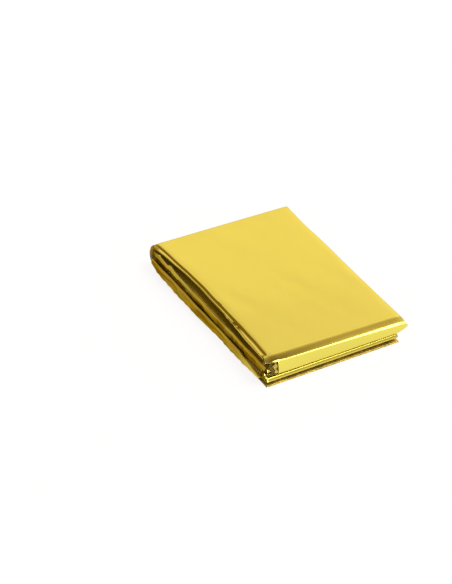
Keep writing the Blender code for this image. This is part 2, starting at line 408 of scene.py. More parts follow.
def path_normals(y, z):
    """Unit normals of a path in the Y-Z plane, on its left as it runs."""
    step_y, step_z = np.gradient(y), np.gradient(z)
    length = np.hypot(step_y, step_z)
    return np.stack([-step_z / length, step_y / length], axis=1)


def pulled(edges, fold, carried):
    return blend(edges[0], fold.x_left, carried), blend(edges[1], fold.x_right, carried)


def carried_into(fold):
    return 0.0 if fold.hold else FOLD_PULL


class TurnedPath:
    """The strip's path round the wrap at one side of the packet, from the top's end to the next pass."""

    def __init__(self, side, height):
        tilts = np.radians([turn.tilt for turn in WRAP_TURNS])
        lengths = [getattr(turn, side) for turn in WRAP_TURNS]
        fine = [np.linspace(a, b, TURN_STEPS + 1)[1:] for a, b in zip(tilts[:-1], tilts[1:])]
        left_over = lengths.index(None)
        drops = [np.sin(turn).mean() for turn in fine]
        known = sum(n * d for n, d in zip(lengths[1:], drops) if n is not None)
        lengths[left_over] = (height - known) / drops[left_over - 1]
        steps = np.repeat(np.array(lengths[1:]) / TURN_STEPS, TURN_STEPS)
        self.tilt = np.concatenate([[0.0], *fine])
        self.ahead = np.concatenate([[0.0], np.cumsum(np.cos(self.tilt[1:]) * steps)])
        self.drop = np.concatenate([[0.0], np.cumsum(np.sin(self.tilt[1:]) * steps)])
        self.length = np.concatenate([[0.0], np.cumsum(steps)])
        self.reach = self.ahead.max()

    def at(self, share):
        """How far ahead of its start the path is, how far it has dropped and its tilt, at a share of it.
        The shares go by length and by tilt alike, so that steps are close together where it turns."""
        shares = BY_LENGTH * self.length / self.length[-1] + BY_TILT * self.tilt / self.tilt[-1]
        return tuple(np.interp(share, shares, v) for v in (self.ahead, self.drop, self.tilt))


def turned_paths():
    fold = FOLDS[WRAP]
    high, low = PASSES[fold.leaves], PASSES[fold.joins]
    return (
        TurnedPath("left", high.z_left - low.z_left),
        TurnedPath("right", high.z_right - low.z_right),
    )


def fold_ends(fold):
    """Where the strip enters and leaves a fold: y at the packet's left and right sides."""
    if fold is FOLDS[WRAP]:
        paths = turned_paths()
        entered = tuple(fold_face(fold) + path.reach for path in paths)
        return entered, tuple(y - path.ahead[-1] for y, path in zip(entered, paths))
    start = fold_face(fold, fold.depth)
    return (start, start), (start, start)


def add_pass(stations, row, ends, order, count):
    """Adds the rows of a pass. Each of its ends is y at both sides, and the fold there or None."""
    (from_left, from_right), (to_left, to_right) = (y for y, _ in ends)
    shares = [step / count for step in range(count + 1)]
    if ends[0][1] is None:
        shares.insert(1, FREE_END_ROW / abs(to_left - from_left))
    for share in shares:
        y_left, y_right = blend(from_left, to_left, share), blend(from_right, to_right, share)
        edges = row.x_left + row.bow * math.sin(math.pi * share), row.x_right
        spread = 1.0
        for (fold_left, fold_right), fold in ends:
            if fold:
                near = math.exp(-abs(y_left + y_right - fold_left - fold_right) / 2 / fold.flare)
                edges = pulled(edges, fold, carried_into(fold) * near)
                spread = blend(spread, fold.spread, 0.5 * near)
        stations.add(y_left, y_right, row.z_left, row.z_right, *edges, spread, order, order, share)


def add_fold(stations, fold, order, count):
    """Adds the rows of a fold, between its ends: half a superellipse, or the turns of the wrap."""
    low, high = PASSES[fold.leaves], PASSES[fold.joins]
    low_edges = pulled((low.x_left, low.x_right), fold, carried_into(fold))
    high_edges = pulled((high.x_left, high.x_right), fold, carried_into(fold))
    entered, _ = fold_ends(fold)
    paths = turned_paths() if fold is FOLDS[WRAP] else None
    for step in range(1, count):
        angle = math.pi * step / count
        if paths:
            ahead_left, drop_left, angle = paths[0].at(step / count)
            ahead_right, drop_right, _ = paths[1].at(step / count)
            y = entered[0] - ahead_left, entered[1] - ahead_right
            z = low.z_left - drop_left, low.z_right - drop_right
            rise = drop_left / paths[0].drop[-1]
        else:
            power = 2 / fold.square
            out = outward(fold.end) * fold.depth * math.sin(angle) ** power
            y = entered[0] + out, entered[1] + out
            rise = (1 - math.copysign(abs(math.cos(angle)) ** power, math.cos(angle))) / 2
            z = blend(low.z_left, high.z_left, rise), blend(low.z_right, high.z_right, rise)
        middle = float(eased((math.sin(angle) - fold.hold) / (MIDDLE_FROM - fold.hold)))
        bulge = math.sin(math.pi * rise**BULGE_SKEW) if paths else middle * (1 - rise)
        stations.add(
            *y,
            *z,
            blend(blend(low_edges[0], high_edges[0], rise), fold.x_left, middle),
            blend(blend(low_edges[1], high_edges[1], rise), fold.x_right, bulge),
            blend(1.0, fold.spread, 0.5 + 0.5 * math.sin(angle)),
            blend(order, order + 1, step / count),
            order + 0.5,
            rise if paths else step / count,
        )


def strip_stations(inner):
    """The strip's rows, for the outer half of the doubled sheet or the inner one."""
    stations = Stations()
    end = ((BOTTOM_END, BOTTOM_END), None)
    for order, fold in enumerate(FOLDS):
        row = PASSES[fold.leaves]
        entered, left = fold_ends(fold)
        add_pass(stations, row, (end, (entered, fold)), order, row.rows_inner if inner else row.rows_outer)
        add_fold(stations, fold, order, fold.rows)
        end = (left, fold)
    last = PASSES[FOLDS[-1].joins]
    count = last.rows_inner if inner else last.rows_outer
    add_pass(stations, last, (end, ((CORE_END, CORE_END), None)), len(FOLDS), count)
    return stations.close()


# Columns across the sheet. A plain ply is stepped at these distances from its folded edges, in
# millimetres, and at these shares of its width. The plies that show have more.
Columns = namedtuple("Columns", "left shares right")
HIDDEN_PLY = Columns((0.22, 0.65), (0.5,), (1.3, 0.22))
SHOWN_PLEAT = Columns((0.12, 0.35, 0.55, 0.75, 1.1, 1.5, 1.9, 2.2, 3.2), (0.5,), (1.3, 0.22))
TOP_PLY = Columns(
    (0.3, 0.6, 1.0, 1.6, 2.6, 4.2),
    tuple(np.linspace(0.1, 0.92, 15)),
    (4.0, 2.4, 1.4, 0.8, 0.4, 0.15),
)
LAST_PLY = Columns((0.5, 2.0), (0.5,), (1.3, 0.22))
SHOWN_PLEATS = (1, 2)


def columns_of(ply, last):
    if ply == 0:
        return TOP_PLY
    if ply == last:
        return LAST_PLY
    return SHOWN_PLEAT if ply in SHOWN_PLEATS else HIDDEN_PLY


# Point attributes, all of painted light and shade: how far a point has the painted shade and reflected tint
# of the packed pleats, the painted brown shade of the film that hangs at the left side and the painted olive
# shade of the film deep inside, and how much painted shade darkens it besides.
SHADES = ("inside", "skirt", "hollow", "dark")

HEM, LEFT, SHARE, RIGHT, FOLDED_LEFT, FOLDED_RIGHT = range(6)
Column = namedtuple("Column", "ply kind value")


def sheet_columns(pleats):
    """Every column across the sheet, from one free edge to the other. Ply 0 starts at the left."""
    columns = []
    last = pleats - 1
    hem_steps = range(1, len(HEM_STEPS) + 1)
    hem = [Column(0, HEM, i) for i in reversed(hem_steps)]
    for ply in range(pleats):
        steps = columns_of(ply, last)
        across = [Column(ply, LEFT, d) for d in steps.left]
        across += [Column(ply, SHARE, s) for s in steps.shares]
        across += [Column(ply, RIGHT, d) for d in steps.right]
        if ply % 2:
            across.reverse()
        columns += (hem + across) if ply == 0 else across
        if ply < last:
            columns.append(Column(ply, FOLDED_LEFT if ply % 2 else FOLDED_RIGHT, 0.0))
    columns += [Column(last, HEM, i) for i in hem_steps]
    return columns


def layer_of(ply, inner):
    """How many plies lie between this one and the strip's outer face. The folded-in half changes sides
    at every pleat."""
    return 2 * ply + (1 if bool(ply % 2) != inner else 0)


def layer_offsets(stations, pleats, seed):
    """For each row, the offset of each layer from the strip's middle. The gaps between layers open and
    close along the strip, so that the plies lie in loose bunches."""
    place = stations.y[:, None] + GAP_SHIFT * stations.order[:, None]
    gap = np.arange(2 * pleats - 1)[None, :]
    open_here = ripple(place, seed, GAP_WAVES, gap) + BUNCH_GAP * np.cos(BUNCH_GAP_TURN * gap)
    gaps = CLOSED_GAP + np.clip(open_here, 0.0, None) ** 2 * OPEN_GAP
    edges = np.concatenate([np.zeros((len(place), 1)), np.cumsum(gaps, axis=1)], axis=1)
    edges /= edges[:, -1:]
    return STRIP_THICK * (edges * stations.spread[:, None] - 0.5)


def folds_back(stations, count, seed):
    """How far each pleat's fold stands back from the strip's edge, for each row."""
    place = stations.y[:, None] + BACK_SHIFT * np.floor(stations.order[:, None] + 0.5)
    pleat = np.arange(count)[None, :]
    bunch = 0.5 + 0.5 * np.sin(BUNCH_BACK_TURN * pleat + BUNCH_SEED_TURN * seed)
    slow = 0.5 + 0.5 * ripple(place, seed, SLOW_WAVES, pleat)
    back = BUNCH_BACK * bunch + SLOW_BACK * slow + QUICK_BACK * ripple(place, seed, QUICK_WAVES, pleat)
    back[:, 0] *= OUTERMOST_BACK
    return back


def hem_rows(stations):
    """The hem of each row. It is tucked away on the passes that have no table of their own."""
    rows = np.tile(np.array(TUCKED), (len(stations.y), 1))
    for name, table in HEMS.items():
        here = stations.on(name) > 0
        rows[here] = np.stack(along_table(table, REAR - stations.y[here]), axis=1)
    return Hem(*rows.T)


def notch_pair(ply):
    """The row of the notch's table for a ply other than the outermost one."""
    return NOTCH[min((ply + 1) // 2, len(NOTCH)) - 1]


def facet_light(from_rear, drop):
    """How much of its brown the hanging film loses to facets, at places along it and a share of its drop."""
    light = np.zeros(len(from_rear))
    for facet in FACETS:
        share = np.clip((from_rear - facet.at) / (facet.to - facet.at), 0, 1)
        middle = blend(facet.share_at, facet.share_to, share)
        half_width = facet.half_width * np.sin(np.pi * share**FACET_SKEW) ** FACET_BLUNT + 1e-6
        light = np.maximum(light, facet.light * eased(FACET_EDGE - np.abs(drop - middle) / half_width))
    return light


class FoldedHalf:
    """One half of the doubled sheet, as rows along the strip by columns across the sheet: its points in the
    packet and their painted light and shade."""

    def __init__(self, inner, film):
        self.inner, self.film = inner, film
        self.rows = rows = strip_stations(inner)
        self.columns = sheet_columns(film.pleats)
        self.last = film.pleats - 1
        self.offsets = layer_offsets(rows, film.pleats, film.seed)
        self.back_left = folds_back(rows, film.pleats, film.seed + LEFT_FOLDS_SEED)
        self.back_right = folds_back(rows, film.pleats, film.seed + RIGHT_FOLDS_SEED)
        self.on_top, self.on_ledge, self.on_last = (rows.on(name) for name in ("top", "ledge", "last_core"))
        self.in_front, self.in_rear = rows.within(LOW_FRONT), rows.within(BIG_REAR)
        self.in_wrap = rows.within(WRAP)
        self.from_rear = REAR - rows.y
        self.showing = np.where((rows.normal_left[:, 1] > 0) | (self.on_top > 0), self.last, 0)
        self.hems = hem_rows(rows)
        self.trim = along_table(TRIMS, self.from_rear)
        self.crease = self.in_front * np.exp(-(((rows.along - CREASE_AT) / CREASE_WIDTH) ** 2))
        begun = eased((self.from_rear - CRUMPLE_FROM) / CRUMPLE_FADE)
        self.crumple = begun * eased((CRUMPLE_TO - self.from_rear) / CRUMPLE_FADE) * self.on_top
        self.points = np.zeros((len(rows.y), len(self.columns), 3))
        self.shades = {name: np.zeros(self.points.shape[:2]) for name in SHADES}

    def fold(self):
        """Places every point and gives it its painted light and shade. The points are then in metres."""
        for index, column in enumerate(self.columns):
            if column.kind != HEM:
                x = self.place_column(index, column)
                self.shade_column(index, column, x)
        self.hang_hem(0)
        self.hang_hem(self.last)
        self.press_top()
        self.set_back_notch()
        self.points[:, :, 1] += CREASE_DEPTH * self.crease[:, None]
        self.points = settled(self.points)
        return self

    def left_edge(self, ply):
        """Where the left edge of a ply is in each row."""
        rows = self.rows
        edge = rows.x_left + self.back_left[:, (ply + 1) // 2]
        if ply in (0, self.last):
            edge = rows.x_left + FREE_EDGE_BACK
            for name, back in HEM_SET_BACK.items():
                edge = edge + back * rows.on(name) * (self.showing == ply)
        if ply == 0:
            over = self.on_top + self.in_rear * eased(rows.along * 2 - 1)
            return blend(edge, rows.x_left + self.trim.back, over)
        if ply in SHOWN_PLEATS:
            edge = blend(edge, rows.x_left, self.on_top)
        pair = notch_pair(ply)
        notch = self.in_wrap * np.sin(np.pi * rows.along) ** NOTCH_EDGE_POWER
        rough = ripple(rows.along * NOTCH_EDGE_LENGTH + ply, self.film.seed, NOTCH_EDGE_WAVES, ply)
        return edge + notch * (pair.rough * rough - pair.reach)

    def right_edge(self, ply):
        return self.rows.x_right - self.back_right[:, ply // 2]

    def offset_of(self, ply):
        return self.offsets[:, layer_of(ply, self.inner)]

    def place(self, x, offset):
        """Points at these x, offset from the strip's middle along its normals."""
        rows = self.rows
        share = (x - rows.x_left) / (rows.x_right - rows.x_left)
        normal = rows.normal_left * (1 - share[:, None]) + rows.normal_right * share[:, None]
        normal /= np.linalg.norm(normal, axis=1)[:, None]
        y, z = blend(rows.y_left, rows.y_right, share), blend(rows.z_left, rows.z_right, share)
        return np.stack([x, y + normal[:, 0] * offset, z + normal[:, 1] * offset], axis=1)

    def place_column(self, index, column):
        """Places the points of one column, and says at which x they are."""
        rows, ply = self.rows, column.ply
        offset = self.offset_of(ply)
        if column.kind == LEFT:
            stretch = 1 + self.on_top * (self.trim.back / USUAL_TRIM - 1)
            x = self.left_edge(ply) + column.value * (stretch if ply else 1)
        elif column.kind == RIGHT:
            x = self.right_edge(ply) - column.value
        elif column.kind == SHARE:
            x = blend(rows.x_left, rows.x_right, column.value)
        else:
            offset = (offset + self.offset_of(ply + 1)) / 2
            x = self.left_edge(ply) if column.kind == FOLDED_LEFT else self.right_edge(ply)
        if ply in (0, self.last):
            near = np.exp(-((x - self.left_edge(ply)) / RISE_WIDTH))
            lifted = self.hems.rise * (self.showing == ply) * near
            offset = offset + lifted * (1 if ply else -1)
        if ply == 0 and not self.inner:
            faded = eased((x - rows.x_left - LOFT_FROM) / LOFT_FADE) * eased((rows.x_right - x) / LOFT_FADE)
            offset = offset - LOFT * (self.on_top + self.in_wrap + self.in_rear) * faded
        self.points[:, index] = self.place(x, offset)
        return x

    def shade_column(self, index, column, x):
        """Gives the points of one column, which are at these x, their painted light and shade."""
        ply, skirt = column.ply, 0.0
        hollow = HOLLOW_DARK * (self.on_top + CORE_HOLLOW * self.rows.on(*CORE))
        if ply == 0:
            inside, hollow, dark = self.on_last, HOLLOW_DARK * self.on_last, self.soft_shade(x)
        elif ply == self.last:
            inside = 1.0 - (self.in_front + self.on_ledge)
            dark = LOW_DARK * self.in_front + CREASE_DARK * self.crease
        else:
            inside, dark = 1.0, notch_pair(ply).dark * self.in_wrap
        if ply in SHOWN_PLEATS:
            inside, hollow = 1.0 - UNSHADED_SHARE * self.on_top, 0.0
            if column.kind == LEFT and column.value < USUAL_TRIM:
                skirt, hollow = self.pressed_shades(x)
        if column.kind in (LEFT, SHARE, RIGHT):
            near_end = eased((FRONT + LOW_DARK_WITHIN - self.rows.y) / LOW_DARK_FADE)
            dark = dark + LOW_DARK * self.rows.on("bottom") * near_end
        for name, shade in zip(SHADES, (inside, skirt, hollow, dark)):
            self.shades[name][:, index] = shade

    def pressed_shades(self, x):
        """The painted brown shade of the hanging film and the painted olive shade of the hollow, on the
        pleats' slope beside the free edge, and painted brown patches where the pleat is crumpled.
        """
        from_foot = x - self.rows.x_left - self.trim.back + self.trim.sinking
        on_slope = self.on_top * eased((from_foot + SLOPE_MARGIN) / SLOPE_FADE)
        patches = eased(PATCH_LEVEL + PATCH_SHARPNESS * ripple(self.rows.y, self.film.seed, CRUMPLE_PATCHES))
        return np.maximum(on_slope, self.crumple * patches), PRESSED_HOLLOW * on_slope

    def soft_shade(self, x):
        """How much painted shade darkens the outermost ply: towards the top's front, in slanting streaks
        across the top, and where the wrap turns down."""
        rows, seed = self.rows, self.film.seed
        across = (x - rows.x_left) / (rows.x_right - rows.x_left)
        streaks = ripple(STREAK_ALONG_X * x + STREAK_ALONG_Y * rows.y, seed, STREAK_WAVES)
        streaks *= 0.5 + 0.5 * ripple(rows.y, seed, STREAK_PATCHES)
        front = FRONT_DARK * eased((self.from_rear - FRONT_DARK_FROM) / FRONT_DARK_OVER)
        front = front * (1 - FRONT_DARK_LOSS * across) + STREAK_DARK * streaks
        tilt = np.degrees(np.arccos(np.clip(np.abs(rows.normal_left[:, 1]), 0, 1)))
        turning = eased(tilt / BAND_FULL_TILT) * eased((BAND_END_TILT - tilt) / BAND_FADE_TILT)
        band = np.clip(BAND_DARK - BAND_LOSS * across, 0, 1) * turning
        face = eased((tilt - FACE_FROM_TILT) / FACE_FADE_TILT)
        face = face * (FACE_DARK + FACE_MIDDLE_DARK * np.sin(np.pi * across))
        return np.clip(self.on_top * front + self.in_wrap * (face + band), 0, 1)

    def hang_hem(self, ply):
        """Places the sheet's free edge at one of its sides, step by step from where it leaves the strip, and
        gives it its painted light and shade."""
        rows, film, hems = self.rows, self.film, self.hems
        shown = (self.showing == ply).astype(float)
        reach = np.where(shown > 0, hems.reach, TUCKED.reach)
        drop = np.where(shown > 0, hems.drop, TUCKED.drop)
        tilt, fall = np.radians(hems.tilt) * shown, np.radians(hems.fall) * shown
        if self.inner:
            reach, drop = reach * INNER_REACH, drop * INNER_DROP
        lip = sum(width * rows.on(name) for name, width in LIP.items()) * shown
        crinkle = film.crinkle / MM * ripple(rows.y, film.seed, HEM_WAVES) * (drop > CRINKLED_FROM)
        here, length = self.place(self.left_edge(ply), self.offset_of(ply)), 0.0
        here[:, 2] += hems.rise * shown
        for number, step in enumerate(HEM_STEPS, 1):
            angle = blend(blend(tilt, math.radians(LIP_TILT), step.to_lip), fall, step.to_fall)
            new_length = reach * step.reach + lip * step.lip + drop * step.drop
            here[:, 0] -= np.cos(angle) * (new_length - length)
            here[:, 2] -= np.sin(angle) * (new_length - length)
            length = new_length
            index = self.columns.index(Column(ply, HEM, number))
            self.points[:, index] = here
            self.points[:, index, 0] += crinkle * step.drop
            self.shade_hem(index, step, shown)

    def shade_hem(self, index, step, shown):
        # Painted brown shade on the hanging film, lifted where painted facet highlights lie, painted
        # darkening low on the last pass, and the pleats' painted shade colour in the facets.
        brown = blend(step.core_brown, step.ledge_brown, self.on_ledge + self.on_top)
        light = facet_light(self.from_rear, step.drop) * self.on_last
        self.shades["skirt"][:, index] = brown * (1 - light) * self.hems.brown * shown
        self.shades["dark"][:, index] = step.dark * (1 - light) * self.on_last * shown
        self.shades["inside"][:, index] = FACET_PLEAT * light * shown

    def press_top(self):
        """Presses the pleats down beside the top's free edge, and crumples the pleat beyond it."""
        x, y, z = (self.points[:, :, axis] for axis in range(3))
        from_left = x - self.rows.x_left[:, None]
        sunk = np.clip((self.trim.back[:, None] - from_left) / self.trim.sinking[:, None], 0, 1)
        above = np.clip(z - (self.rows.z_left[:, None] - STRIP_THICK / 2), 0, None)
        depth = self.crumple[:, None] * (from_left < CRUMPLE_WIDTH) * CRUMPLE_DEPTH
        crumpled = np.abs(depth * ripple(y, self.film.seed, CRUMPLE_WAVES))
        self.points[:, :, 2] -= self.on_top[:, None] * (PRESSED_SHARE * sunk * above + crumpled)

    def set_back_notch(self):
        """Sets back and crumples the pleats that show in the notch at the wrap's left edge."""
        along = self.rows.along
        near = self.in_wrap * np.sin(np.pi * along) ** NOTCH_BACK_POWER
        for index, column in enumerate(self.columns):
            if column.ply == 0 or column.kind in (SHARE, RIGHT, FOLDED_RIGHT):
                continue
            place = along * NOTCH_BACK_LENGTH + NOTCH_BACK_SHIFT * column.value
            rough = ripple(place, self.film.seed, NOTCH_BACK_WAVES, column.ply)
            self.points[:, index, 1] += near * (notch_pair(column.ply).back + NOTCH_BACK_ROUGH * rough)


def settled(points):
    """Swells and sinks the packet along Y, skews its ends, and centres it on its footprint, in metres."""
    x, y, z = points[:, :, 0], points[:, :, 1], points[:, :, 2]
    swell = 1 + SWELL_SHARE * np.sin(2 * math.pi * y / SWELL_WAVE)
    z = FLOOR_HEIGHT + (z - FLOOR_HEIGHT) * swell
    y = y + (REAR_SKEW * eased(y / REAR) + FRONT_SKEW * eased(y / FRONT)) * x / HALF_WIDTH
    return np.stack([x - MIDDLE[0], y - MIDDLE[1], np.maximum(z, LOWEST)], axis=2) * MM


def sheet_mesh(film):
    """One grid of faces for the whole sheet: the outer half from its far edge to the strip's start, where
    the sheet is folded in two, and the inner half back again."""
    outer, inner = FoldedHalf(False, film).fold(), FoldedHalf(True, film).fold()
    points = np.concatenate([outer.points[::-1], inner.points])
    rows, across = points.shape[:2]
    corner = np.arange(rows * across).reshape(rows, across)
    faces = np.stack([corner[:-1, :-1], corner[:-1, 1:], corner[1:, 1:], corner[1:, :-1]], axis=-1)
    mesh = bpy.data.meshes.new(PIECE)
    mesh.from_pydata(points.reshape(-1, 3).tolist(), [], faces.reshape(-1, 4).tolist())
    mesh.shade_smooth()
    # The painted light and shade go onto the mesh as point attributes.
    values = {name: np.concatenate([outer.shades[name][::-1], inner.shades[name]]) for name in SHADES}
    shown = np.array([column.ply == 0 and column.kind == SHARE for column in outer.columns])
    values["loose"] = np.zeros((rows, across))
    values["loose"][: len(outer.points), shown] = 1.0
    for name, value in values.items():
        attribute = mesh.attributes.new(name, "FLOAT", "POINT")
        attribute.data.foreach_set("value", value.reshape(-1).astype(np.float32))
    return mesh


def new_node(tree, kind, inputs=None, **settings):
    """A node with these values at its inputs, which go by name or number, and these settings."""
    node = tree.nodes.new(kind)
    for name, value in settings.items():
        setattr(node, name, value)
    for socket, value in (inputs or {}).items():
        node.inputs[socket].default_value = value
    return node


def join(source, out, target, into):
    """Links an output of one node to an input of another. Both go by name or number."""
    source.id_data.links.new(source.outputs[out], target.inputs[into])


def new_socket(tree, name, kind, default=None, out=False):
    direction = "OUTPUT" if out else "INPUT"
    socket = tree.interface.new_socket(name, in_out=direction, socket_type=f"NodeSocket{kind}")
    if default is not None:
        socket.default_value = default


def wrinkle_tree():
    """Geometry nodes that raise soft wrinkles on the loose film, along its normals."""
    tree = bpy.data.node_groups.new("film_wrinkles", "GeometryNodeTree")
    new_socket(tree, "Geometry", "Geometry", out=True)
    new_socket(tree, "Geometry", "Geometry")
    new_socket(tree, "Height", "Float", 0.0001)
    new_socket(tree, "Size", "Float", 0.03)
    new_socket(tree, "Seed", "Float", 3.0)
    new_socket(tree, "Film", "Material")
    given, result = new_node(tree, "NodeGroupInput"), new_node(tree, "NodeGroupOutput")
    place = new_node(tree, "GeometryNodeInputPosition")
    pitch = new_node(tree, "ShaderNodeMath", {0: 1.0}, operation="DIVIDE")
    noise = new_node(tree, "ShaderNodeTexNoise", {"Detail": 1.5, "Roughness": 0.4}, noise_dimensions="4D")
    centred = new_node(tree, "ShaderNodeMath", {1: 0.5}, operation="SUBTRACT")
    mask = new_node(tree, "GeometryNodeInputNamedAttribute", {"Name": "loose"}, data_type="FLOAT")
    masked = new_node(tree, "ShaderNodeMath", operation="MULTIPLY")
    raised = new_node(tree, "ShaderNodeMath", operation="MULTIPLY")
    normal = new_node(tree, "GeometryNodeInputNormal")
    offset = new_node(tree, "ShaderNodeVectorMath", operation="SCALE")
    moved = new_node(tree, "GeometryNodeSetPosition")
    real = new_node(tree, "GeometryNodeRealizeInstances")
    finish = new_node(tree, "GeometryNodeSetMaterial")
    join(given, "Size", pitch, 1)
    join(place, "Position", noise, "Vector")
    join(given, "Seed", noise, "W")
    join(pitch, 0, noise, "Scale")
    join(noise, "Fac", centred, 0)
    join(centred, 0, masked, 0)
    join(mask, "Attribute", masked, 1)
    join(masked, 0, raised, 0)
    join(given, "Height", raised, 1)
    join(normal, "Normal", offset, 0)
    join(raised, 0, offset, "Scale")
    join(given, "Geometry", moved, "Geometry")
    join(offset, "Vector", moved, "Offset")
    join(moved, "Geometry", real, "Geometry")
    join(real, "Geometry", finish, "Geometry")
    join(given, "Film", finish, "Material")
    join(finish, "Geometry", result, "Geometry")
    return tree


def with_wrinkles(piece, film, material):
    """The piece's mesh after the wrinkle nodes, as a plain mesh."""
    tree = wrinkle_tree()
    modifier = piece.modifiers.new("wrinkles", "NODES")
    modifier.node_group = tree
    values = {"Height": film.wrinkle, "Size": film.wrinkle_size, "Seed": float(film.seed), "Film": material}
    for socket in tree.interface.items_tree:
        if socket.in_out == "INPUT" and socket.name in values:
            modifier[socket.identifier] = values[socket.name]
    graph = bpy.context.evaluated_depsgraph_get()
    mesh = bpy.data.meshes.new_from_object(piece.evaluated_get(graph))
    piece.modifiers.remove(modifier)
    piece.data = mesh
    mesh.name = piece.name
    return piece


# The film's own gold and the colours of its painted light and shade: the sockets of the colour group, and the
# settings that they come from.
FILM_COLOURS = {
    "Unshaded": "gold",
    "Pleats": "pleat_shade_gold",
    "Deep": "deep_shade_gold",
    "Brown": "side_shade_brown",
    "Amber": "side_sheen_amber",
    "Olive": "hollow_shade_olive",
    "Shade": "shade_gold",
}
WHITE, BLACK = (1, 1, 1, 1), (0, 0, 0, 1)
# How close together the painted streaks of the pleats' shade and the painted creases of light and shade on
# the hanging film are along X, Y and Z, for each metre, how far the creases slant, and the levels of noise
# between which both go from one colour to the other.
STREAKS_EACH_METRE = (260.0, 22.0, 900.0)
CREASES_EACH_METRE = (300.0, 75.0, 620.0)
CREASE_SLANT = 24.0
STREAK_LEVELS = {"From Min": 0.36, "From Max": 0.66}
CREASE_LEVELS = {"From Min": 0.38, "From Max": 0.62}


def film_colour_group():
    """Shader group: the film's colour, from its own gold on the outer face to the painted shade of the
    pleats' edges and between them, with long streaks along the strip, then the painted brown shade of the
    hanging film, the painted olive shade of the hollow and the painted darkening."""
    tree = bpy.data.node_groups.new("film_colour", "ShaderNodeTree")
    new_socket(tree, "Inside", "Float", 0.0)
    new_socket(tree, "Vector", "Vector")
    for name in ("Skirt", "Hollow", "Dark"):
        new_socket(tree, name, "Float", 0.0)
    for name in FILM_COLOURS:
        new_socket(tree, name, "Color", BLACK if name == "Shade" else WHITE)
    new_socket(tree, "Color", "Color", out=True)
    given, result = new_node(tree, "NodeGroupInput"), new_node(tree, "NodeGroupOutput")
    stretch = new_node(tree, "ShaderNodeVectorMath", {1: STREAKS_EACH_METRE}, operation="MULTIPLY")
    streaks = new_node(tree, "ShaderNodeTexNoise", {"Scale": 1.0, "Detail": 3.0})
    share = new_node(tree, "ShaderNodeMapRange", STREAK_LEVELS, interpolation_type="SMOOTHSTEP")
    turned = {"Rotation": (math.radians(CREASE_SLANT), 0.0, 0.0), "Scale": CREASES_EACH_METRE}
    slant = new_node(tree, "ShaderNodeMapping", turned)
    creases = new_node(tree, "ShaderNodeTexNoise", {"Scale": 1.0, "Detail": 2.0})
    crease_share = new_node(tree, "ShaderNodeMapRange", CREASE_LEVELS, interpolation_type="SMOOTHSTEP")
    mixes = (new_node(tree, "ShaderNodeMix", data_type="RGBA") for _ in range(6))
    pleats, colour, skirt, skirted, hollow, darkened = mixes
    join(given, "Vector", slant, "Vector")
    join(slant, 0, creases, "Vector")
    join(creases, "Fac", crease_share, "Value")
    join(given, "Vector", stretch, 0)
    join(stretch, 0, streaks, "Vector")
    join(streaks, "Fac", share, "Value")
    # These mixes lay the painted light and shade over the film's own gold.
    for mix, factor, first, second in (
        (skirt, (crease_share, "Result"), (given, "Brown"), (given, "Amber")),
        (pleats, (share, "Result"), (given, "Deep"), (given, "Pleats")),
        (colour, (given, "Inside"), (given, "Unshaded"), (pleats, "Result")),
        (skirted, (given, "Skirt"), (colour, "Result"), (skirt, "Result")),
        (hollow, (given, "Hollow"), (skirted, "Result"), (given, "Olive")),
        (darkened, (given, "Dark"), (hollow, "Result"), (given, "Shade")),
    ):
        join(*factor, mix, "Factor")
        join(*first, mix, "A")
        join(*second, mix, "B")
    join(darkened, "Result", result, "Color")
    return tree


def film_surface_group():
    """Shader group: fine crinkles and the roughness that goes with them."""
    tree = bpy.data.node_groups.new("film_surface", "ShaderNodeTree")
    new_socket(tree, "Vector", "Vector")
    new_socket(tree, "Smooth Roughness", "Float", 0.2)
    new_socket(tree, "Worn Roughness", "Float", 0.32)
    new_socket(tree, "Roughness", "Float", out=True)
    new_socket(tree, "Height", "Float", out=True)
    given, result = new_node(tree, "NodeGroupInput"), new_node(tree, "NodeGroupOutput")
    crinkle = new_node(tree, "ShaderNodeTexNoise", {"Scale": 220.0, "Detail": 4.0})
    haze = new_node(tree, "ShaderNodeTexNoise", {"Scale": 45.0, "Detail": 3.0})
    spread = new_node(tree, "ShaderNodeMapRange", {"From Min": 0.3, "From Max": 0.7})
    join(given, "Vector", crinkle, "Vector")
    join(given, "Vector", haze, "Vector")
    join(haze, "Fac", spread, "Value")
    join(given, "Smooth Roughness", spread, "To Min")
    join(given, "Worn Roughness", spread, "To Max")
    join(spread, "Result", result, "Roughness")
    join(crinkle, "Fac", result, "Height")
    return tree


MORE_WORN = 0.06  # how much rougher the film is where it is worn


